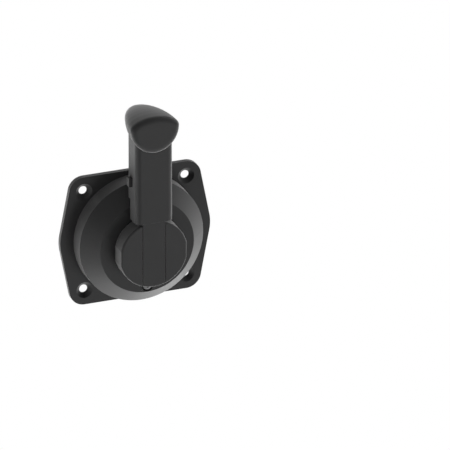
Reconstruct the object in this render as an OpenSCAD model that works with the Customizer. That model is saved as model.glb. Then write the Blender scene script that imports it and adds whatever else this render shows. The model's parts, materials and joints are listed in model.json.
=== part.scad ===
// Side mount throttle control: a lever on a round housing that bolts to the side of a console.
// All sizes are in millimetres. The origin is the centre of the mounting face, on the lever's
// axis, with +Z up and the front facing -Y. The lever stands upright, in neutral.
// Each sub-part is drawn facing the viewer, with x to the right, y up and z counted forward
// from the mounting face, and place() turns it into the model's frame.

/* [Flange] */
// Thickness of the flange plate
flange_t = 4; // [3.8:0.1:5]
// Distance between the bolt holes, across and up
bolt_pitch = 82.5; // [82:0.5:88]
// Diameter of the bolt holes
bolt_hole_d = 6.6; // [6:0.1:7]
// Diameter of the countersinks of the bolt holes
bolt_sink_d = 13; // [11:0.5:13]
// Radius of the flange corners, round the bolt holes
corner_r = 12; // [11:0.5:14]
// Half width of the flange at the rounded points on its sides
side_x = 60.75; // [60:0.25:64]
// Radius of the rounded side points
side_r = 35; // [28:1:38]

/* [Housing] */
// Diameter of the barrel
barrel_d = 100; // [98:0.5:102]
// Height of the barrel in front of the flange
barrel_h = 13.6; // [13:0.2:18]
// Height of the cone in front of the barrel
cone_h = 12.45; // [11:0.05:14]
// Diameter of the flat front
front_d = 75.6; // [74:0.2:78]
// Wall of the cone, square to its surface
cone_wall = 3; // [2.6:0.1:3.6]
// Thickness of the flat front
front_wall = 3.5; // [3:0.1:4]
// Wall of the barrel round the rear cover
barrel_wall = 2.4; // [2:0.1:3]

/* [Rear cover] */
// Thickness of the rear cover
rear_cover_t = 2.5; // [2.2:0.1:3]
// Width of the cover seal
cover_seal_w = 2.1; // [1.6:0.1:2.4]
// Thickness of the cover seal
cover_seal_t = 1; // [0.8:0.1:1.2]
// Width of the panel gasket
gasket_w = 2.4; // [1.6:0.1:2.8]
// Depth of the panel gasket in the flange
gasket_t = 1; // [0.8:0.1:1.4]
// Gap between the cable gland's well and the housing's wall
gland_margin = 2.6; // [2:0.1:4]
// Bore of the cable seal
cable_d = 6.5; // [5:0.5:7]

/* [Spindle] */
// Diameter of the spindle in its bush
spindle_d = 14; // [12:0.5:15]
// Diameter of the spindle flange, inside the hub
spindle_flange_d = 30; // [29:0.5:32]
// Thickness of the spindle flange
spindle_flange_t = 3.5; // [3:0.1:4]
// Running clearance between spindle and bush, on the radius
spindle_fit = 0.03; // [0.02:0.01:0.08]
// Wall of the bush
bush_wall = 2; // [1.5:0.1:2.5]
// Diameter of the magnet in the spindle's end
magnet_d = 5; // [4:0.5:5]

/* [Rotor] */
// Thickness of the friction rotor
rotor_t = 2.5; // [2:0.1:3]
// Radius of the circle that the stop slot follows
stop_r = 24; // [23:0.5:25]
// Diameter of the stop pin
stop_pin_d = 6; // [5:0.5:7]
// Lever travel each way from neutral, in degrees
travel = 60; // [30:5:65]
// Distance of the detent plunger from the axis
detent_r = 30; // [29:0.5:31]
// Diameter of the detent plunger
detent_d = 5; // [4:0.5:5]

/* [Friction screw] */
// Diameter of the friction screw's head
friction_head_d = 7; // [6.4:0.1:7.6]
// Thickness of the friction screw's head
friction_head_t = 3; // [2.4:0.1:3]
// Radius of the rounded edge of the friction screw's head
friction_head_edge_r = 1.6; // [1:0.1:1.8]
// Size across the flats of the socket in the friction screw
friction_socket = 2.5; // [2:0.5:3]
// Diameter of the friction screw's thread
friction_d = 4; // [3:0.5:4]
// Diameter of the recess round the friction screw
friction_sink_d = 9.8; // [8.6:0.2:10]
// Depth of the recess round the friction screw
friction_sink = 2.2; // [1.8:0.1:2.2]
// Diameter of the friction pad
pad_d = 7.2; // [6.4:0.2:7.6]
// Thickness of the friction pad
pad_t = 2; // [1.5:0.1:2.4]

/* [Hub] */
// Diameter of the hub
hub_d = 54.4; // [52:0.2:58]
// Width of the hub over its two side flats
hub_flat_w = 53; // [50:0.5:54]
// Thickness of the hub
hub_t = 13.3; // [12.8:0.1:15]
// Gap between hub and housing
hub_gap = 1.95; // [1.6:0.05:3]
// Radius of the rounded front rim of the hub
hub_rim_r = 1.3; // [0.6:0.1:2]
// Width of the slot across the hub
slot_w = 18.6; // [16:0.2:22]
// Depth of the slot across the hub
slot_depth = 6; // [5:0.1:6.2]
// Gap each side of the lever's tongue in the slot
slot_gap = 0.2; // [0.1:0.05:0.4]

/* [Lever] */
// Width of the lever
lever_w = 29.8; // [28:0.2:32]
// Depth of the lever arm, front to back
lever_t = 13.8; // [13:0.1:16]
// How far the lever stands proud of the hub's face
lever_proud = 2.1; // [1:0.1:3]
// Radius of the lever's front edges
lever_edge_r = 4; // [2:0.5:5]
// Wall of the hollow lever
lever_wall = 3; // [2.6:0.1:3.4]
// Gap between the hub's rim and the lever block
lever_rim_gap = 0.2; // [0.1:0.1:1]
// How far the lever ends below the knob's widest point, inside the knob
lever_end_drop = 2.6; // [2:0.1:4]
// How far the back cover starts below the side button
back_cover_drop = 15.5; // [15:0.5:17]
// Thickness of the back cover
back_cover_t = 4.2; // [3.6:0.1:5]
// Height of the side button above the axis
button_h = 59.5; // [59:0.5:64]
// Length of the side button, along the lever
button_l = 7; // [6:0.5:8]
// Width of the side button, across the lever's side
button_w = 4.7; // [4:0.1:5]
// How far the side button stands out of the lever
button_out = 2.8; // [2:0.1:3.5]
// Travel of the side button
button_travel = 1.2; // [0.8:0.1:1.2]

/* [Knob] */
// Width of the knob
knob_w = 38.8; // [36:0.2:44]
// Height of the knob's widest point above the axis
knob_mid = 106.6; // [105:0.2:108]
// Height of the knob's arched top above its widest point
knob_rise = 9.2; // [8.8:0.2:12]
// Depth of the knob's round base below its widest point
knob_drop = 20.4; // [17:0.2:24]
// How far the knob stands proud of the lever's front
knob_proud = 3.1; // [2:0.1:4]
// Radius of the knob's front edge
knob_edge_r = 3.4; // [2:0.2:4]
// Length of the knob's taper, front to back
knob_l = 43; // [38:0.5:46]
// How far the knob's rear tip lies below the widest point
knob_tip_drop = 1.4; // [0.6:0.1:2.6]

/* [Hidden] */
$fn = 96;
eps = 0.01;
run_gap = 0.3;          // gap between pieces that move past each other

plastic = [0.2, 0.2, 0.21];
dark_rubber = [0.1, 0.1, 0.1];
steel = [0.72, 0.73, 0.75];
brass = [0.78, 0.62, 0.3];
board_green = [0.08, 0.3, 0.16];

// Planes of the housing, counted forward from the mounting face
barrel_z = flange_t + barrel_h;
front_z = barrel_z + cone_h;
inside_z = front_z - front_wall;
barrel_r = barrel_d / 2;
front_r = front_d / 2;
cone_slope = (barrel_r - front_r) / cone_h;
cone_offset = cone_wall * sqrt(1 + cone_slope * cone_slope);
function cone_inside_r(z) = barrel_r - cone_slope * (z - barrel_z) - cone_offset;

// Rear cover in its recess, with the seal on a ledge
cover_slack = 0.2;
recess_r = barrel_r - barrel_wall;
cover_r = recess_r - cover_slack;
ledge_z = rear_cover_t + cover_seal_t;
cavity_r = recess_r - cover_seal_w - 2.5 * cover_slack;
cone_start_z = barrel_z + (barrel_r - cone_offset - cavity_r) / cone_slope;
gasket_r = recess_r + 1.6;
cover_screw_d = 3;
cover_screw_head = 5.6;
cover_screw_l = 9;
cover_boss_r = 3.3;
cover_screw_r = cavity_r - 3;
cover_boss_end = cone_start_z + 3;

// Parts along the spindle, from the sensor forward
board_t = 1.2;
board_r = 24;
standoff_l = 2;
standoff_r = 3;
board_screw_r = 17.5;
board_screw_d = 2.5;
board_screw_l = 4.6;
board_screw_head = 4.4;
board_screw_head_t = 1.4;
board_z = rear_cover_t + standoff_l;
sensor_w = 5;
sensor_h = 4;
sensor_t = 1;
sensor_gap = 0.9;
connector_x = -18;
connector_y = 3;
connector_w = 9;
connector_h = 6;
connector_t = 5;
connector_wall = 0.8;
magnet_t = 3;
magnet_out = 0.6;
magnet_z = board_z + board_t + sensor_t + sensor_gap;
spindle_end_z = magnet_z + magnet_out;
thread_d = 8;
nut_af = 13;
nut_t = 4;
nut_z = spindle_end_z + 0.8;
rotor_washer_t = 1;
rotor_washer_d = 17;
rotor_z = nut_z + nut_t + rotor_washer_t;
rotor_front_z = rotor_z + rotor_t;
drive_d = 10;
drive_flat_w = 8.4;
bush_flange_t = 1.2;
bush_z = rotor_front_z + run_gap;
bush_r = spindle_d / 2 + bush_wall;
bush_flange_r = bush_r + 3;
seal_t = 4;
seal_r = bush_r + 2;
spindle_boss_r = bush_r + 4;
hub_z = front_z + hub_gap;
hub_front_z = hub_z + hub_t;
thrust_washer_r = 12.5;
spindle_screw_d = 4;
spindle_screw_head = 7.4;
spindle_screw_r = spindle_flange_d / 2 - spindle_screw_head / 2 - run_gap;
spindle_screw_l = hub_t - slot_depth - 0.5;

// Stop slot and detent of the rotor
stop_slot_r = stop_pin_d / 2 + run_gap;
stop_end = travel + asin(stop_slot_r / stop_r);
stop_boss_r = 6;
stop_boss_l = 7.5;
stop_pin_in = 6.5;
stop_pin_below = 1;
detent_fit = 0.05;
detent_sleeve_r = detent_d / 2 + 1.5;
detent_boss_r = detent_sleeve_r + 2.5;
detent_tip_z = rotor_front_z + run_gap;
detent_l = 5.2;
detent_travel = 0.8;
detent_notch = 0.8;
detent_sleeve_z = detent_tip_z + 1.2;
detent_cap_t = 1;
detent_spring_l = inside_z - detent_cap_t - detent_tip_z - detent_l;

// Friction screw, held in the front, and the pad that its thread draws along
friction_margin = 0.2;
friction_r = front_r - friction_sink_d / 2 - friction_margin;
friction_fit = 0.05;
friction_socket_l = 1.6;
friction_floor_z = front_z - friction_sink;
friction_boss_z = inside_z - 2;
clip_t = 0.5;
clip_r = 3.6;
clip_gap = 0.2;
clip_z = friction_boss_z - clip_gap - clip_t;
pad_travel = 0.8;
pad_z = rotor_front_z + run_gap;
pad_bore_r = friction_d / 2 + 0.4;
carrier_w = 10;
carrier_h = 8;
carrier_z = pad_z + pad_t;
carrier_t = clip_z - clip_gap - pad_travel - carrier_z;
guide_wall = 2.5;
guide_z = carrier_z + pad_travel + clip_gap;
rotor_rim = 0.9;
rotor_r = friction_r + pad_d / 2 + rotor_rim;

// Cable gland in a well of the rear cover
well_r = 10.4;
well_wall = 2;
gland_drop = cavity_r - well_r - well_wall - gland_margin;
well_floor_z = 7;
gland_thread_r = 6;
gland_bore_r = 4;
gland_seal_r = 5;
gland_seal_l = 5;
gland_nut_af = 17;
gland_nut_z = 1;
gland_nut_l = 5;
gland_lip = 1.5;
gland_head_af = 15;
gland_head_t = 2.5;

// Slot of the hub and the lever's tongue
slot_z = hub_front_z - slot_depth;
edge_chamfer = 0.3;
arm_screw_y = 20.6;
arm_screw_cover = 1.3;
arm_screw_l = hub_t - arm_screw_cover;
arm_screw_d = 4;
arm_screw_head = 7.4;

// Lever arm, its back cover and screws
lever_base = hub_d / 2 + lever_rim_gap;
lever_front_z = hub_front_z + lever_proud;
lever_back_z = lever_front_z - lever_t;
back_z = lever_back_z - back_cover_t;
back_cover_edge_r = 1;
back_cover_base = button_h - back_cover_drop;
channel_up = 8;
channel_base = back_cover_base + channel_up;
lever_end = knob_mid - lever_end_drop;
lever_end_wall = 4;
channel_end = lever_end - lever_end_wall;
channel_w = lever_w - 2 * lever_wall;
channel_z = lever_front_z - lever_wall;
back_screw_d = 3;
back_screw_head = 5.6;
back_screw_l = 11;
back_screw_x = 8.5;
back_screw_low = back_cover_base + channel_up / 2;
back_screw_up = 22.5;
back_screw_high = button_h + back_screw_up;
back_boss_r = 3.8;

// Side button, its seal, switch and spring, from the lever's side inwards
button_gap = 0.3;
button_back_z = lever_back_z + button_gap;
button_inner_x = -channel_w / 2;
button_seal_t = 1;
button_collar_t = 1.4;
button_collar_rim = 2;
button_collar_up = 3.5;
button_collar_x = button_inner_x + button_seal_t + button_gap;
button_axis_z = (lever_back_z + channel_z) / 2 - 0.4;
button_pin_l = 1.7;
button_pin_r = 1.6;
switch_x = button_collar_x + button_collar_t + button_pin_l + button_travel + button_gap;
switch_t = 1.8;
switch_w = 4.2;
switch_board_x = switch_x + switch_t;
switch_board_t = 1.2;
switch_board_h = 14.5;
switch_board_gap = 0.6;
rib_t = 1.5;
rib_d = 3.4;
rib_low = 1;
button_spring_r = 3.6;
button_wire_r = 0.25;

// Knob: a superellipse that tapers back like an egg
knob_front_z = lever_front_z + knob_proud;
knob_wide_z = knob_front_z - knob_edge_r;
knob_tip = knob_mid - knob_tip_drop;
knob_top_power = 2;
knob_base_power = 1.95;
knob_taper_power = 1.79;
knob_points = 72;
knob_tip_scale = 0.03;
knob_socket_gap = 0.05;
knob_screw_d = 5;
knob_screw_head = 9;
knob_screw_head_t = 3;
knob_screw_l = 12;
knob_screw_z = (lever_back_z + channel_z) / 2;

// Turns a piece drawn facing the viewer into the model's frame
module place() rotate([90, 0, 0]) children();

// Moves children to a point of the front view, z forward of the mounting face
module at(x, y, z) translate([x, y, z]) children();

// Moves children round the axis, at radius r and an angle counted from the right
module around(angle, r, z) rotate([0, 0, angle]) translate([r, 0, z]) rotate([0, 0, -angle]) children();

// Ring or disc standing on z = 0
module ring(r_out, r_in, h) difference() {
    cylinder(r = r_out, h = h);
    if (r_in > 0) translate([0, 0, -eps]) cylinder(r = r_in, h = h + 2 * eps);
}

// Hexagonal prism, given its size across the flats
module hexagon(af, h) cylinder(r = af / sqrt(3), h = h, $fn = 6);

// Countersunk screw, head flush with z = 0 and pointing forward
module flat_screw(d, l, head_d) difference() {
    union() {
        cylinder(d1 = head_d, d2 = d, h = (head_d - d) / 2);
        cylinder(d = d, h = l);
    }
    translate([0, 0, -eps]) hexagon(d * 0.6, d * 0.5);
}

// Hole for a countersunk screw, with slack round its shank
module flat_screw_hole(d, l, head_d, slack) {
    hole_d = d + 2 * slack;
    cylinder(d1 = head_d, d2 = hole_d, h = (head_d - hole_d) / 2);
    cylinder(d = hole_d, h = l);
    translate([0, 0, -1]) cylinder(d = head_d, h = 1 + eps);
}

// Screw with a round head below z = 0 and its shank forward of it
module pan_screw(d, l, head_d, head_h) difference() {
    union() {
        translate([0, 0, -head_h]) cylinder(d = head_d, h = head_h);
        cylinder(d = d, h = l);
    }
    translate([0, 0, -head_h - eps]) hexagon(d * 0.7, head_h * 0.6);
}

// Closed skin through a list of rings, each with the same number of points
module loft(rings) {
    n = len(rings[0]);
    m = len(rings);
    polyhedron(
        points = [for (r = rings) for (p = r) p],
        faces = concat(
            [[for (i = [0:n - 1]) i]],
            [[for (i = [n - 1:-1:0]) (m - 1) * n + i]],
            [for (k = [0:m - 2]) for (i = [0:n - 1])
                [k * n + i, (k + 1) * n + i, (k + 1) * n + (i + 1) % n, k * n + (i + 1) % n]]
        )
    );
}

// Compression spring along z, from z = 0 to z = l
module coil_spring(r, wire_r, l, turns) {
    sides = 8;
    per_turn = 20;
    steps = turns * per_turn;
    rise = l - 2 * wire_r;
    loft([for (k = [0:steps])
        let (a = 360 * k / per_turn, z = wire_r + rise * k / steps)
        [for (b = [0:360 / sides:359])
            [(r + wire_r * cos(b)) * cos(a), (r + wire_r * cos(b)) * sin(a), z - wire_r * sin(b)]]
    ]);
}

// Points where the outer tangent touches two circles, each given as [x, y, r]
function tangent(a, b) =
    let (
        along = atan2(b.y - a.y, b.x - a.x),
        n = along - acos((a.z - b.z) / norm([b.x - a.x, b.y - a.y]))
    )
    [[a.x + a.z * cos(n), a.y + a.z * sin(n)], [b.x + b.z * cos(n), b.y + b.z * sin(n)]];

// Outline of the flange: four corners and two side points, joined by their tangents
module flange_outline() {
    c = bolt_pitch / 2;
    s = side_x - side_r;
    rounds = [[s, 0, side_r], [c, c, corner_r], [-c, c, corner_r],
        [-s, 0, side_r], [-c, -c, corner_r], [c, -c, corner_r]];
    last = len(rounds) - 1;
    polygon([for (i = [0:last]) for (p = tangent(rounds[i], rounds[i == last ? 0 : i + 1])) p]);
    for (r = rounds) translate([r.x, r.y]) circle(r = r.z);
}

// The four corners of the bolt pattern
module at_bolts() for (x = [-1, 1], y = [-1, 1]) translate([x, y, 0] * bolt_pitch / 2) children();

// The four rear cover screws, on the diagonals
module at_cover_screws() for (a = [45:90:315]) around(a, cover_screw_r, 0) children();

module at_board_screws() for (a = [90:120:330]) around(a, board_screw_r, 0) children();

module at_spindle_screws() for (a = [0:120:240]) around(a, spindle_screw_r, 0) children();

module at_arm_screws() for (y = [-1, 1]) translate([0, y * arm_screw_y, hub_z]) children();

module at_back_screws() for (x = [-1, 1], y = [back_screw_low, back_screw_high])
    translate([x * back_screw_x, y, back_z]) children();

// Barrel and cone, as one turned solid
module housing_outside() rotate_extrude() polygon([
    [0, 0], [barrel_r, 0], [barrel_r, barrel_z], [front_r, front_z], [0, front_z]
]);

// Recess of the rear cover and the hollow in front of it
module housing_hollow() rotate_extrude() polygon([
    [0, -1], [recess_r, -1], [recess_r, ledge_z], [cavity_r, ledge_z],
    [cavity_r, cone_start_z], [cone_inside_r(inside_z), inside_z], [0, inside_z]
]);

// Bosses that the housing's front carries on the inside
module housing_bosses() {
    at(0, 0, bush_z + bush_flange_t) cylinder(r = spindle_boss_r, h = inside_z - bush_z - bush_flange_t + eps);
    at(0, stop_r, inside_z - stop_boss_l) cylinder(r = stop_boss_r, h = stop_boss_l + eps);
    at(detent_r, 0, detent_sleeve_z) cylinder(r = detent_boss_r, h = inside_z - detent_sleeve_z + eps);
    at(0, -friction_r, guide_z)
        translate([-carrier_w / 2 - guide_wall, -carrier_h / 2 - guide_wall, 0])
            cube([carrier_w + 2 * guide_wall, carrier_h + 2 * guide_wall, inside_z - guide_z + eps]);
    at_cover_screws() translate([0, 0, rear_cover_t])
        cylinder(r = cover_boss_r, h = cover_boss_end - rear_cover_t);
}

// Flange, barrel, cone and flat front in one moulding
module housing() place() color(plastic) difference() {
    union() {
        difference() {
            union() {
                linear_extrude(flange_t) flange_outline();
                housing_outside();
            }
            housing_hollow();
        }
        intersection() {
            housing_bosses();
            housing_outside();
        }
    }
    // Bolt holes, countersunk from the front
    at_bolts() translate([0, 0, -1]) cylinder(d = bolt_hole_d, h = flange_t + 2);
    at_bolts() translate([0, 0, flange_t - (bolt_sink_d - bolt_hole_d) / 2])
        cylinder(d1 = bolt_hole_d, d2 = bolt_sink_d, h = (bolt_sink_d - bolt_hole_d) / 2);
    // Groove of the panel gasket
    at(0, 0, -1) ring(gasket_r + gasket_w, gasket_r, gasket_t + 1);
    // Seats of the bush and the shaft seal
    at(0, 0, rotor_z) cylinder(r = bush_r, h = front_z);
    at(0, 0, front_z - seal_t) cylinder(r = seal_r, h = seal_t + 1);
    // Stop pin, detent sleeve and rear cover screws
    at(0, stop_r, inside_z - stop_boss_l - 1) cylinder(d = stop_pin_d, h = stop_pin_in + 1);
    at(detent_r, 0, detent_sleeve_z - 1) cylinder(r = detent_sleeve_r, h = inside_z - detent_sleeve_z + 1);
    at_cover_screws() cylinder(d = cover_screw_d, h = cover_screw_l + 1);
    // Friction screw, its recess and the guide of the pad carrier
    at(0, -friction_r, guide_z - 1) cylinder(r = friction_d / 2 + friction_fit, h = front_z);
    at(0, -friction_r, friction_floor_z) cylinder(d = friction_sink_d, h = friction_sink + 1);
    at(0, -friction_r, guide_z - 1)
        translate([-carrier_w / 2 - run_gap, -carrier_h / 2 - run_gap, 0])
            cube([carrier_w + 2 * run_gap, carrier_h + 2 * run_gap, friction_boss_z - guide_z + 1]);
}

// Seals the flange against the console
module panel_gasket() place() color(dark_rubber) ring(gasket_r + gasket_w, gasket_r, gasket_t);

// Closes the housing at the back, and carries the board and the cable gland
module rear_cover() place() color(plastic) difference() {
    union() {
        cylinder(r = cover_r, h = rear_cover_t);
        at_board_screws() cylinder(r = standoff_r, h = board_z);
        at(0, -gland_drop, 0) cylinder(r = well_r + well_wall, h = well_floor_z + well_wall);
    }
    at(0, -gland_drop, -1) cylinder(r = well_r, h = well_floor_z + 1);
    at(0, -gland_drop, 0) cylinder(r = gland_thread_r, h = well_floor_z + well_wall + 1);
    at_cover_screws() flat_screw_hole(cover_screw_d, cover_screw_l, cover_screw_head, cover_slack);
    at_board_screws() translate([0, 0, board_z + board_t - board_screw_l])
        cylinder(d = board_screw_d, h = board_screw_l);
}

module cover_seal() place() color(dark_rubber)
    at(0, 0, rear_cover_t) ring(recess_r, recess_r - cover_seal_w, cover_seal_t);

module cover_screws() place() color(steel)
    at_cover_screws() flat_screw(cover_screw_d, cover_screw_l, cover_screw_head);

// Threaded sleeve through the well's floor, with its hexagon inside the housing
module gland_body() place() color(plastic) at(0, -gland_drop, 0) difference() {
    seal_front = gland_nut_z + gland_lip + gland_seal_l;
    union() {
        at(0, 0, gland_nut_z + gland_lip)
            cylinder(r = gland_thread_r, h = well_floor_z + well_wall - gland_nut_z - gland_lip);
        at(0, 0, well_floor_z + well_wall) hexagon(gland_head_af, gland_head_t);
    }
    at(0, 0, 0) cylinder(r = gland_seal_r, h = seal_front);
    at(0, 0, 0) cylinder(r = gland_bore_r, h = well_floor_z + well_wall + gland_head_t + 1);
}

module gland_seal() place() color(dark_rubber)
    at(0, -gland_drop, gland_nut_z + gland_lip) ring(gland_seal_r, cable_d / 2, gland_seal_l);

module gland_nut() place() color(plastic) at(0, -gland_drop, gland_nut_z) difference() {
    hexagon(gland_nut_af, gland_nut_l);
    at(0, 0, gland_lip) cylinder(r = gland_thread_r, h = gland_nut_l);
    at(0, 0, -1) cylinder(r = gland_bore_r, h = gland_nut_l);
}

// Flanged bush that the spindle turns in
module spindle_bush() place() color(brass) difference() {
    union() {
        at(0, 0, bush_z) cylinder(r = bush_flange_r, h = bush_flange_t);
        at(0, 0, bush_z) cylinder(r = bush_r, h = front_z - seal_t - bush_z);
    }
    at(0, 0, rotor_z) cylinder(r = spindle_d / 2 + spindle_fit, h = front_z);
}

module shaft_seal() place() color(dark_rubber)
    at(0, 0, front_z - seal_t) ring(seal_r, spindle_d / 2 + spindle_fit, seal_t);

module stop_pin() place() color(steel) {
    pin_z = rotor_z - stop_pin_below;
    at(0, stop_r, pin_z) cylinder(d = stop_pin_d, h = inside_z - stop_boss_l + stop_pin_in - pin_z);
}

// Closed sleeve that guides the detent plunger
module detent_sleeve() place() color(brass) at(detent_r, 0, detent_sleeve_z) difference() {
    cylinder(r = detent_sleeve_r, h = inside_z - detent_sleeve_z);
    translate([0, 0, -1]) cylinder(r = detent_d / 2 + detent_fit, h = inside_z - detent_sleeve_z);
}

module detent_spring() place() color(steel)
    at(detent_r, 0, detent_tip_z + detent_l) coil_spring(detent_d / 2 - 0.6, 0.25, detent_spring_l, 4);

// Round-nosed plunger, drawn lifted just clear of the rotor
module detent_plunger() place() color(steel) at(detent_r, 0, detent_tip_z + detent_d / 2) {
    cylinder(d = detent_d, h = detent_l - detent_d / 2);
    intersection() {
        sphere(d = detent_d);
        translate([-detent_d, -detent_d, -detent_d]) cube([2 * detent_d, 2 * detent_d, detent_d]);
    }
}

// Round board, cut away where the gland's well passes
module sensor_board() place() color(board_green) at(0, 0, board_z) difference() {
    cylinder(r = board_r, h = board_t);
    at(0, -gland_drop, -1) cylinder(r = well_r + well_wall + 0.6, h = board_t + 2);
    at_board_screws() translate([0, 0, -1]) cylinder(d = board_screw_d, h = board_t + 2);
}

module angle_sensor() place() color(dark_rubber)
    at(-sensor_w / 2, -sensor_h / 2, board_z + board_t) cube([sensor_w, sensor_h, sensor_t]);

module board_connector() place() color([0.85, 0.84, 0.8])
    at(connector_x, connector_y, board_z + board_t) difference() {
        cube([connector_w, connector_h, connector_t]);
        translate([connector_wall, connector_wall, 1])
            cube([connector_w - 2 * connector_wall, connector_h - 2 * connector_wall, connector_t]);
    }

module board_screws() place() color(steel) at_board_screws()
    translate([0, 0, board_z + board_t]) mirror([0, 0, 1])
        pan_screw(board_screw_d, board_screw_l, board_screw_head, board_screw_head_t);

// Captive screw: its head lies in the recess, its thread draws the pad carrier
module friction_screw() place() color(steel) at(0, -friction_r, 0) difference() {
    head_z = friction_floor_z + clip_gap;
    r = friction_head_d / 2;
    edge = friction_head_edge_r;
    union() {
        at(0, 0, head_z) rotate_extrude() {
            square([r, friction_head_t - edge]);
            square([r - edge, friction_head_t]);
            translate([r - edge, friction_head_t - edge]) circle(r = edge);
        }
        at(0, 0, carrier_z) cylinder(d = friction_d, h = head_z - carrier_z + eps);
    }
    at(0, 0, head_z + friction_head_t - friction_socket_l) hexagon(friction_socket, friction_socket_l + 1);
}

module screw_clip() place() color(steel)
    at(0, -friction_r, clip_z) ring(clip_r, friction_d / 2, clip_t);

module pad_carrier() place() color(brass) at(0, -friction_r, carrier_z) difference() {
    translate([-carrier_w / 2, -carrier_h / 2, 0]) cube([carrier_w, carrier_h, carrier_t]);
    translate([0, 0, -1]) cylinder(r = friction_d / 2 + friction_fit, h = carrier_t + 2);
}

module friction_pad() place() color([0.3, 0.24, 0.2])
    at(0, -friction_r, pad_z) ring(pad_d / 2, pad_bore_r, pad_t);

// Section of the spindle's drive, round with two flats
module drive_section(d, flat_w) intersection() {
    circle(d = d);
    square([flat_w, d + 1], center = true);
}

// Stepped spindle: flange in the hub, journal, two flats for the rotor and a thread
module spindle() place() color(steel) difference() {
    thread_z = rotor_z + 0.1;
    union() {
        at(0, 0, hub_z) cylinder(d = spindle_flange_d, h = spindle_flange_t);
        at(0, 0, rotor_front_z) cylinder(d = spindle_d, h = hub_z - rotor_front_z + eps);
        at(0, 0, thread_z) linear_extrude(rotor_front_z - thread_z + eps) drive_section(drive_d, drive_flat_w);
        at(0, 0, spindle_end_z) cylinder(d = thread_d, h = thread_z - spindle_end_z + eps);
    }
    at(0, 0, spindle_end_z - 1) cylinder(d = magnet_d, h = magnet_t - magnet_out + 1);
    at_spindle_screws() translate([0, 0, hub_z])
        flat_screw_hole(spindle_screw_d, spindle_screw_l, spindle_screw_head, cover_slack);
}

module spindle_screws() place() color(steel) at_spindle_screws()
    translate([0, 0, hub_z]) flat_screw(spindle_screw_d, spindle_screw_l, spindle_screw_head);

module thrust_washer() place() color([0.9, 0.9, 0.86])
    at(0, 0, front_z + run_gap) ring(thrust_washer_r, spindle_d / 2, hub_gap - run_gap);

// Disc on the spindle: the pad rubs on it, its arc slot meets the stop pin,
// and its notch gives the feel of neutral
module friction_rotor() place() color(steel) at(0, 0, rotor_z) difference() {
    cylinder(r = rotor_r, h = rotor_t);
    translate([0, 0, -1]) linear_extrude(rotor_t + 2) drive_section(drive_d, drive_flat_w);
    translate([0, 0, -1]) linear_extrude(rotor_t + 2) intersection() {
        difference() {
            circle(r = stop_r + stop_slot_r);
            circle(r = stop_r - stop_slot_r);
        }
        polygon([[0, 0], for (k = [-1:1]) 3 * stop_r * [sin(k * stop_end), cos(k * stop_end)]]);
    }
    at(detent_r, 0, rotor_t + detent_d / 2 - detent_notch) sphere(d = detent_d);
}

module rotor_washer() place() color(steel)
    at(0, 0, rotor_z - rotor_washer_t) ring(rotor_washer_d / 2, thread_d / 2, rotor_washer_t);

module spindle_nut() place() color(steel) at(0, 0, nut_z) difference() {
    hexagon(nut_af, nut_t);
    translate([0, 0, -1]) cylinder(d = thread_d, h = nut_t + 2);
}

module magnet() place() color([0.5, 0.5, 0.52]) at(0, 0, magnet_z) cylinder(d = magnet_d, h = magnet_t);

// Section with rounded front edges: x across, y forward
module round_front_section(w, back, front, r) {
    translate([-w / 2, back]) square([w, front - r - back]);
    translate([-w / 2 + r, back]) square([w - 2 * r, front - back]);
    for (x = [-1, 1]) translate([x * (w / 2 - r), front - r]) circle(r = r);
}

// Draws a section across the lever, from height y0 to y1 up the lever
module along_lever(y0, y1) translate([0, y1, 0]) rotate([90, 0, 0]) linear_extrude(y1 - y0) children();

// Round disc of the hub with its rounded rim and side flats
module hub_disc() intersection() {
    rotate_extrude() {
        translate([0, hub_z]) square([hub_d / 2, hub_t - hub_rim_r]);
        translate([0, hub_z]) square([hub_d / 2 - hub_rim_r, hub_t]);
        translate([hub_d / 2 - hub_rim_r, hub_front_z - hub_rim_r]) circle(r = hub_rim_r);
    }
    along_lever(-hub_d, hub_d) round_front_section(hub_flat_w, hub_z - 1, hub_front_z, hub_rim_r);
}

// Section of the tongue, or of the slot when it is grown by a gap
module tongue_section(gap, top) {
    h = slot_w / 2 - slot_gap + gap;
    polygon([
        [-h, slot_z], [h, slot_z], [h, hub_front_z - edge_chamfer], [h + top, hub_front_z],
        [h + top, hub_front_z + abs(top)], [-h - top, hub_front_z + abs(top)],
        [-h - top, hub_front_z], [-h, hub_front_z - edge_chamfer]
    ]);
}

// Disc that turns the spindle, with a slot for the lever's tongue
module hub() place() color(plastic) difference() {
    hub_disc();
    along_lever(-hub_d, hub_d) tongue_section(slot_gap, edge_chamfer);
    at(0, 0, hub_z - 1) cylinder(d = spindle_flange_d, h = spindle_flange_t + 1);
    at_spindle_screws() translate([0, 0, hub_z]) cylinder(d = spindle_screw_d, h = spindle_screw_l);
    at_arm_screws() flat_screw_hole(arm_screw_d, arm_screw_l, arm_screw_head, cover_slack);
}

module arm_screws() place() color(steel) at_arm_screws() flat_screw(arm_screw_d, arm_screw_l, arm_screw_head);

// Tongue across the hub, its lower end following the hub's rim
module lever_tongue() {
    h = slot_w / 2 - slot_gap;
    intersection() {
        along_lever(-hub_d, 0) polygon([
            [-h, slot_z], [h, slot_z], [h, hub_front_z - edge_chamfer], [h - edge_chamfer, hub_front_z],
            [-h + edge_chamfer, hub_front_z], [-h, hub_front_z - edge_chamfer]
        ]);
        hub_disc();
    }
    along_lever(-eps, lever_base + eps) polygon([
        [-h, slot_z], [h, slot_z], [h, hub_front_z - edge_chamfer], [h - edge_chamfer, hub_front_z],
        [-h + edge_chamfer, hub_front_z], [-h, hub_front_z - edge_chamfer]
    ]);
}

// Notch for the side button, open towards the back cover
module button_notch() translate([-lever_w / 2 - 1, button_h - button_l / 2 - button_gap, lever_back_z - 1])
    cube([lever_wall + 2, button_l + 2 * button_gap, button_gap + button_w + button_gap + 1]);

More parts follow.
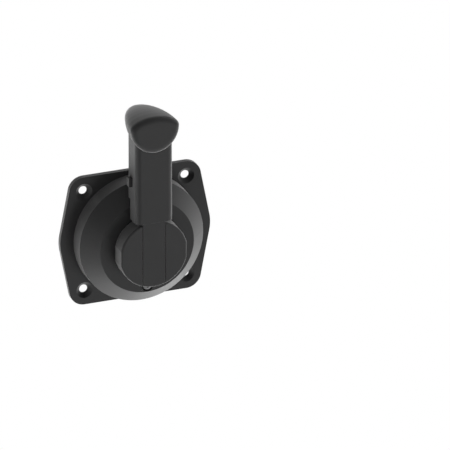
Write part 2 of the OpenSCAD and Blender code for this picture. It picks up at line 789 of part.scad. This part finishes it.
// Hollow lever block, open at the back, with its tongue
module lever_arm() place() color(plastic) {
    difference() {
        union() {
            lever_tongue();
            difference() {
                along_lever(lever_base, lever_end)
                    round_front_section(lever_w, lever_back_z, lever_front_z, lever_edge_r);
                along_lever(channel_base, channel_end) translate([-channel_w / 2, lever_back_z - 1])
                    square([channel_w, channel_z - lever_back_z + 1]);
            }
            for (x = [-1, 1]) at(x * back_screw_x, back_screw_high, lever_back_z)
                cylinder(r = back_boss_r, h = channel_z - lever_back_z + eps);
            switch_ribs();
        }
        button_notch();
        at_arm_screws() cylinder(d = arm_screw_d, h = arm_screw_l);
        at_back_screws() cylinder(d = back_screw_d, h = back_screw_l);
        at(0, lever_end, knob_screw_z) rotate([90, 0, 0])
            translate([0, 0, -1]) cylinder(d = knob_screw_d + 2 * cover_slack, h = lever_end - channel_end + 2);
    }
}

// Two ribs on the channel's front that hold the switch board between them
module switch_ribs() {
    translate([switch_board_x + switch_board_t, channel_base - eps, channel_z - rib_d])
        cube([rib_t, switch_board_h, rib_d + eps]);
    translate([switch_board_x - rib_t, channel_base - eps, channel_z - rib_low])
        cube([rib_t, switch_board_h, rib_low + eps]);
}

// Closes the lever's channel from behind
module back_cover() place() color(plastic) difference() {
    along_lever(back_cover_base, lever_end) mirror([0, 1])
        round_front_section(lever_w, -lever_back_z, -back_z, back_cover_edge_r);
    at_back_screws() flat_screw_hole(back_screw_d, back_screw_l, back_screw_head, cover_slack);
}

module back_cover_screws() place() color(steel)
    at_back_screws() flat_screw(back_screw_d, back_screw_l, back_screw_head);

// Outline of the knob at its widest section, counterclockwise
knob_outline = [for (i = [0:knob_points - 1])
    let (
        a = 360 * i / knob_points,
        up = sin(a) >= 0,
        p = 2 / (up ? knob_top_power : knob_base_power)
    )
    [knob_w / 2 * sign(cos(a)) * pow(abs(cos(a)), p),
        (up ? knob_rise : knob_drop) * sign(sin(a)) * pow(abs(sin(a)), p)]
];

// The outline moved inwards by e, square to itself
function knob_inset(e) = [for (i = [0:knob_points - 1])
    let (t = knob_outline[(i + 1) % knob_points] - knob_outline[(i + knob_points - 1) % knob_points])
    knob_outline[i] + e * [-t.y, t.x] / norm(t)
];

// Rings of the tapering back, from the tip to the widest section
function knob_taper() = [for (t = [86, 80, 73, 66, 58, 50, 42, 34, 26, 18, 9])
    let (back = sin(t), s = max(pow(1 - pow(back, knob_taper_power), 1 / knob_taper_power), knob_tip_scale))
    [for (p = knob_outline)
        [p.x * s, knob_tip + (p.y + knob_mid - knob_tip) * s, knob_wide_z - knob_l * back]]
];

// Rings of the rounded front edge, ending on the flat front
function knob_edge() = [for (t = [0:15:90])
    [for (p = knob_inset(knob_edge_r * (1 - cos(t))))
        [p.x, p.y + knob_mid, knob_wide_z + knob_edge_r * sin(t)]]
];

// Grip on the lever's end, with a socket that fits over arm and back cover
module knob() place() color(plastic) difference() {
    loft(concat(knob_taper(), knob_edge()));
    along_lever(knob_mid - 2 * knob_drop, lever_end + knob_socket_gap)
        round_front_section(lever_w + 2 * knob_socket_gap, back_z - knob_socket_gap,
            lever_front_z + knob_socket_gap, lever_edge_r);
    at(0, channel_end, knob_screw_z) rotate([-90, 0, 0]) cylinder(d = knob_screw_d, h = knob_screw_l);
}

module knob_screw() place() color(steel) at(0, channel_end, knob_screw_z) rotate([-90, 0, 0])
    pan_screw(knob_screw_d, knob_screw_l, knob_screw_head, knob_screw_head_t);

// Rubber frame round the side button, on the inner face of the lever's wall
module button_seal() place() color(dark_rubber) difference() {
    rim = button_collar_rim + button_gap;
    translate([button_inner_x, button_h - button_l / 2 - rim, lever_back_z])
        cube([button_seal_t, button_l + 2 * rim, button_gap + button_w + button_collar_up]);
    translate([button_inner_x - 1, button_h - button_l / 2 - button_gap, lever_back_z - 1])
        cube([button_seal_t + 2, button_l + 2 * button_gap, button_gap + button_w + button_gap + 1]);
}

module switch_board() place() color(board_green)
    translate([switch_board_x, channel_base, lever_back_z + switch_board_gap])
        cube([switch_board_t, switch_board_h, channel_z - lever_back_z - switch_board_gap]);

module button_switch() place() color(steel)
    translate([switch_x, button_h - switch_w / 2, button_axis_z - switch_w / 2])
        cube([switch_t, switch_w, switch_w]);

module button_spring() place() color(steel)
    translate([button_collar_x + button_collar_t, button_h, button_axis_z]) rotate([0, 90, 0])
        coil_spring(button_spring_r, button_wire_r, switch_board_x - button_collar_x - button_collar_t, 5);

// Side button: cap outside, collar inside the wall, and a pin towards the switch
module side_button() place() color(plastic) {
    translate([-lever_w / 2 - button_out, button_h - button_l / 2, button_back_z])
        cube([button_out + lever_w / 2 + button_collar_x + eps, button_l, button_w]);
    translate([button_collar_x, button_h - button_l / 2 - button_collar_rim, button_back_z])
        cube([button_collar_t, button_l + 2 * button_collar_rim, button_w + button_collar_up]);
    translate([button_collar_x, button_h, button_axis_z]) rotate([0, 90, 0])
        cylinder(r = button_pin_r, h = button_collar_t + button_pin_l);
}

housing();
panel_gasket();
rear_cover();
cover_seal();
cover_screws();
gland_body();
gland_seal();
gland_nut();
spindle_bush();
shaft_seal();
stop_pin();
detent_sleeve();
detent_spring();
detent_plunger();
sensor_board();
angle_sensor();
board_connector();
board_screws();
friction_screw();
screw_clip();
pad_carrier();
friction_pad();
spindle();
spindle_screws();
thrust_washer();
friction_rotor();
rotor_washer();
spindle_nut();
magnet();
hub();
arm_screws();
lever_arm();
back_cover();
back_cover_screws();
knob();
knob_screw();
button_seal();
switch_board();
button_switch();
button_spring();
side_button();
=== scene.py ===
import json
import math

import bpy
from mathutils import Matrix, Vector

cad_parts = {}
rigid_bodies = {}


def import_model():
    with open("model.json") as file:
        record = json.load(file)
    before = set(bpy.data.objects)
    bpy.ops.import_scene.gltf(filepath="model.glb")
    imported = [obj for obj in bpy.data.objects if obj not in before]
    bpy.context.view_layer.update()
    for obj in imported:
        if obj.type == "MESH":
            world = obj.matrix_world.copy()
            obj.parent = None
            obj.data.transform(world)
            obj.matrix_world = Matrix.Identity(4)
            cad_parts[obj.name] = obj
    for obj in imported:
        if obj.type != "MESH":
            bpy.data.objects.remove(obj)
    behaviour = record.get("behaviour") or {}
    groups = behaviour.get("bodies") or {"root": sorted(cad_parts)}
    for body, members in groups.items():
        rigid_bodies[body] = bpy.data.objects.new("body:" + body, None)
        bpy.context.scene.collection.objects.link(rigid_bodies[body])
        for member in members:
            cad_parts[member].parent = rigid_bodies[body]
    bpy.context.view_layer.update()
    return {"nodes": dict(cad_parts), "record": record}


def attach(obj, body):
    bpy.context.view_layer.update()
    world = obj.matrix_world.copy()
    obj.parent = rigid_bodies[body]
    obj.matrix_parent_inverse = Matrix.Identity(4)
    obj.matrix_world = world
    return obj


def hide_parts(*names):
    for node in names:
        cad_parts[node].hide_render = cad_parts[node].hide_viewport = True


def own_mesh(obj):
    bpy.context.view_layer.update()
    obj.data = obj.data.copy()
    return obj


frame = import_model()

# How fine and how strong the noise in the finishes is. Waves are per metre.
GRAIN_ROUGHNESS = 0.6
NOISE_LOW = 0.3
NOISE_HIGH = 0.7
CLOUD_WAVES = 60
CLOUD_DETAIL = 3
TINT_CHANGE = 0.06
SKIN_DETAIL = 2
SKIN_CHANGE = 0.03
SKIN_DEPTH = 0.25
MARK_WAVES = 900
MARK_DETAIL = 4
MARK_CHANGE = 0.08
MARK_STRENGTH = 0.1
MARK_DEPTH = 0.0001

# The plastics' sheen and gloss, and how edges are softened
SHEEN_ROUGHNESS = 0.4
PLASTIC_GLOSS = 0.15
METAL_EDGE = 0.0001
EDGE_SAMPLES = 8


def new_material(name):
    """A material with an empty tree, its nodes and links, and its output."""
    material = bpy.data.materials.new(name)
    material.use_nodes = True
    tree = material.node_tree
    tree.nodes.clear()
    output = tree.nodes.new("ShaderNodeOutputMaterial")
    return material, tree, output


def add(tree, kind, **inputs):
    """A node of that kind, with values on its sockets."""
    node = tree.nodes.new(kind)
    for name, value in inputs.items():
        node.inputs[name.replace("_", " ")].default_value = value
    return node


def grain(tree, scale, detail, coords):
    """Noise over the object's own coordinates, in waves per metre."""
    noise = add(tree, "ShaderNodeTexNoise", Scale=scale, Detail=detail, Roughness=GRAIN_ROUGHNESS)
    tree.links.new(coords.outputs["Object"], noise.inputs["Vector"])
    return noise


def spread(tree, noise, low, high):
    """Maps a noise, which keeps to the middle of its range, to low and high."""
    span = add(
        tree, "ShaderNodeMapRange",
        From_Min=NOISE_LOW, From_Max=NOISE_HIGH, To_Min=low, To_Max=high)
    tree.links.new(noise.outputs["Fac"], span.inputs["Value"])
    return span.outputs["Result"]


def rounded(tree, edge, relief):
    """Softens the edges under a relief by that radius."""
    bevel = add(tree, "ShaderNodeBevel", Radius=edge)
    bevel.samples = EDGE_SAMPLES
    tree.links.new(bevel.outputs["Normal"], relief.inputs["Normal"])


def plastic(name, colour, roughness, grain_size, bump, edge, sheen):
    """Moulded plastic or rubber: faint clouds, a fine skin and softened edges."""
    material, tree, output = new_material(name)
    coords = tree.nodes.new("ShaderNodeTexCoord")
    shader = add(
        tree, "ShaderNodeBsdfPrincipled",
        Sheen_Weight=sheen, Sheen_Roughness=SHEEN_ROUGHNESS, Specular_IOR_Level=PLASTIC_GLOSS)
    clouds = grain(tree, CLOUD_WAVES, CLOUD_DETAIL, coords)
    skin = grain(tree, 1 / grain_size, SKIN_DETAIL, coords)

    tint = add(tree, "ShaderNodeMix")
    tint.data_type = "RGBA"
    tint.inputs["A"].default_value = (*[c * (1 - TINT_CHANGE) for c in colour], 1)
    tint.inputs["B"].default_value = (*[c * (1 + TINT_CHANGE) for c in colour], 1)
    tree.links.new(spread(tree, clouds, 0, 1), tint.inputs["Factor"])
    tree.links.new(tint.outputs["Result"], shader.inputs["Base Color"])
    tree.links.new(
        spread(tree, skin, roughness - SKIN_CHANGE, roughness + SKIN_CHANGE),
        shader.inputs["Roughness"])

    relief = add(tree, "ShaderNodeBump", Strength=bump, Distance=grain_size * SKIN_DEPTH)
    tree.links.new(skin.outputs["Fac"], relief.inputs["Height"])
    if edge:
        rounded(tree, edge, relief)
    tree.links.new(relief.outputs["Normal"], shader.inputs["Normal"])
    tree.links.new(shader.outputs["BSDF"], output.inputs["Surface"])
    return material


def metal(name, colour, roughness):
    """Machined metal with fine marks."""
    material, tree, output = new_material(name)
    coords = tree.nodes.new("ShaderNodeTexCoord")
    shader = add(tree, "ShaderNodeBsdfPrincipled", Metallic=1.0)
    marks = grain(tree, MARK_WAVES, MARK_DETAIL, coords)
    shader.inputs["Base Color"].default_value = (*colour, 1)
    tree.links.new(
        spread(tree, marks, roughness - MARK_CHANGE, roughness + MARK_CHANGE),
        shader.inputs["Roughness"])
    relief = add(tree, "ShaderNodeBump", Strength=MARK_STRENGTH, Distance=MARK_DEPTH)
    tree.links.new(marks.outputs["Fac"], relief.inputs["Height"])
    rounded(tree, METAL_EDGE, relief)
    tree.links.new(relief.outputs["Normal"], shader.inputs["Normal"])
    tree.links.new(shader.outputs["BSDF"], output.inputs["Surface"])
    return material


CHARCOAL = (0.030, 0.030, 0.0305)
BUTTON_BLACK = (0.028, 0.028, 0.0285)
COVER_BLACK = (0.022, 0.022, 0.0225)
RUBBER_BLACK = (0.012, 0.012, 0.012)
CHIP_BLACK = (0.02, 0.02, 0.02)
BOARD_GREEN = (0.02, 0.12, 0.05)
IVORY = (0.7, 0.68, 0.6)
PALE_GREY = (0.75, 0.74, 0.7)
LINING_BROWN = (0.1, 0.07, 0.05)

# The record's moulded finishes: colour, roughness, grain size in metres, how
# strong the grain is, radius of the softened edges in metres, and sheen. The
# knob's large radius hides the rings of its loft.
PLASTICS = {
    "body_plastic": (CHARCOAL, 0.45, 0.0004, 0.10, 0.0002, 1.0),
    "lever_plastic": (CHARCOAL, 0.45, 0.0004, 0.10, 0.0002, 1.0),
    "knob_plastic": (CHARCOAL, 0.42, 0.0005, 0.08, 0.004, 1.0),
    "button_plastic": (BUTTON_BLACK, 0.5, 0.0003, 0.12, 0.0003, 1.0),
    "cover_plastic": (COVER_BLACK, 0.55, 0.0004, 0.2, 0.0003, 0.5),
    "seal_rubber": (RUBBER_BLACK, 0.8, 0.0003, 0.2, 0, 0),
    "board_laminate": (BOARD_GREEN, 0.35, 0.0004, 0.1, 0, 0),
    "chip_plastic": (CHIP_BLACK, 0.5, 0.0002, 0.2, 0, 0),
    "connector_plastic": (IVORY, 0.5, 0.0003, 0.1, 0, 0),
    "friction_lining": (LINING_BROWN, 0.85, 0.0003, 0.6, 0, 0),
    "washer_plastic": (PALE_GREY, 0.4, 0.0003, 0.1, 0, 0),
}

# The record's metals: colour and roughness
METALS = {
    "stainless": ((0.55, 0.56, 0.57), 0.32),
    "black_steel": ((0.09, 0.09, 0.092), 0.38),
    "brass": ((0.6, 0.42, 0.16), 0.35),
    "magnet_metal": ((0.3, 0.3, 0.32), 0.3),
}

FINISHES = {
    **{name: plastic(name, *look) for name, look in PLASTICS.items()},
    **{name: metal(name, *look) for name, look in METALS.items()},
}
SLOTS = {part["node"]: part["material_slot"] for part in frame["record"]["subparts"]}

for node_name, slot in SLOTS.items():
    node = frame["nodes"][node_name]
    node.data.materials.clear()
    node.data.materials.append(FINISHES[slot])


def pressed_spring(node_name, joint):
    """A copy of the node's coil, on the joint's parent, in place of the hidden node."""
    coil = bpy.data.objects.new(f"{node_name}_coil", frame["nodes"][node_name].data.copy())
    bpy.context.scene.collection.objects.link(coil)
    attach(coil, joint["parent"])
    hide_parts(node_name)
    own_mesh(coil)


for joint in frame["record"]["behaviour"]["joints"]:
    for spring in joint.get("deforming_nodes", []):
        pressed_spring(spring["node"], joint)

# A far camera with a long lens, because the photograph shows no perspective.
# It looks from the left and above. The frame's width is in metres at the
# object, and the object stands left of the frame's middle.
VIEW_TURN = math.radians(-20.6)
VIEW_RISE = math.radians(25.08)
FRAME_WIDTH = 0.3423
FLANGE_FRONT = Vector((0, -0.004, 0))
AIM_RIGHT = 0.06819
AIM_UP = 0.00603
LENS = 1000
SENSOR = 36
NEAREST = 0.1
FARTHEST = 100

right = Vector((math.cos(VIEW_TURN), math.sin(VIEW_TURN), 0))
back = Vector((
    math.sin(VIEW_TURN) * math.cos(VIEW_RISE),
    -math.cos(VIEW_TURN) * math.cos(VIEW_RISE),
    math.sin(VIEW_RISE)))
up = back.cross(right)

camera_data = bpy.data.cameras.new("camera")
camera_data.lens = LENS
camera_data.sensor_width = SENSOR
camera_data.clip_start = NEAREST
camera_data.clip_end = FARTHEST
camera = bpy.data.objects.new("camera", camera_data)
bpy.context.scene.collection.objects.link(camera)
aim = FLANGE_FRONT + AIM_RIGHT * right + AIM_UP * up
distance = FRAME_WIDTH * LENS / SENSOR
turned = Matrix((right, up, back)).transposed().to_4x4()
camera.matrix_world = Matrix.Translation(aim + back * distance) @ turned
bpy.context.scene.camera = camera

# The floor lies well below the object, and the low lamps shine through it
FLOOR_Z = -0.45
FLOOR_SIZE = 6
FLOOR_COLOUR = (0.8, 0.8, 0.8, 1)
WHITE = (1, 1, 1, 1)


def white_where_seen(tree, output, kind, other):
    """White of that kind to the camera, in gloss and through glass, and the other elsewhere."""
    path = tree.nodes.new("ShaderNodeLightPath")
    seen = path.outputs["Is Camera Ray"]
    for ray in ("Is Glossy Ray", "Is Transmission Ray"):
        either = add(tree, "ShaderNodeMath")
        either.operation = "MAXIMUM"
        tree.links.new(seen, either.inputs[0])
        tree.links.new(path.outputs[ray], either.inputs[1])
        seen = either.outputs["Value"]
    white = add(tree, kind, Color=WHITE, Strength=1.0)
    pick = tree.nodes.new("ShaderNodeMixShader")
    tree.links.new(seen, pick.inputs[0])
    tree.links.new(other.outputs[0], pick.inputs[1])
    tree.links.new(white.outputs[0], pick.inputs[2])
    tree.links.new(pick.outputs["Shader"], output.inputs["Surface"])


floor_material, tree, output = new_material("floor")
pale = add(tree, "ShaderNodeBsdfDiffuse", Color=FLOOR_COLOUR)
white_where_seen(tree, output, "ShaderNodeEmission", pale)

bpy.ops.mesh.primitive_plane_add(size=FLOOR_SIZE, location=(0, 0, FLOOR_Z))
floor = bpy.context.object
floor.name = "floor"
floor.data.materials.append(floor_material)
floor.visible_diffuse = False
floor.visible_glossy = False
floor.visible_shadow = False

# Broad, soft studio lamps all round the object. The stronger ones lie low, so
# that the cone's lower side is the brightest. Each line gives a lamp's place in
# degrees round from the front, where right is positive, its degrees above the
# horizon, and its strength.
LAMPS = {
    "low_back_left": (-135, -50, 1.3),
    "low_front_right": (35, -35, 0.9),
    "left": (-70, -15, 0.75),
    "high_back_right": (110, 35, 0.7),
    "low_right": (85, -45, 0.55),
    "below_left": (-85, -70, 0.45),
    "right": (100, -5, 0.45),
    "high_right": (80, 20, 0.45),
    "low_left": (-105, -30, 0.25),
    "low_back_right": (120, -30, 0.2),
    "low_front_left": (-50, -45, 0.2),
    "back_left": (-155, -20, 0.15),
    "high_front": (25, 30, 0.15),
}
LAMP_SPREAD = math.radians(50)

for name, (around, above, strength) in LAMPS.items():
    lamp_data = bpy.data.lights.new(f"{name}_lamp", "SUN")
    lamp_data.energy = strength
    lamp_data.angle = LAMP_SPREAD
    lamp = bpy.data.objects.new(lamp_data.name, lamp_data)
    lamp.rotation_euler = (math.radians(90 - above), 0, math.radians(around))
    bpy.context.scene.collection.objects.link(lamp)

world = bpy.data.worlds.new("world")
bpy.context.scene.world = world
world.use_nodes = True
tree = world.node_tree
tree.nodes.clear()
output = tree.nodes.new("ShaderNodeOutputWorld")
no_light = add(tree, "ShaderNodeBackground", Color=WHITE, Strength=0.0)
white_where_seen(tree, output, "ShaderNodeBackground", no_light)

bpy.context.scene.view_settings.view_transform = "Standard"
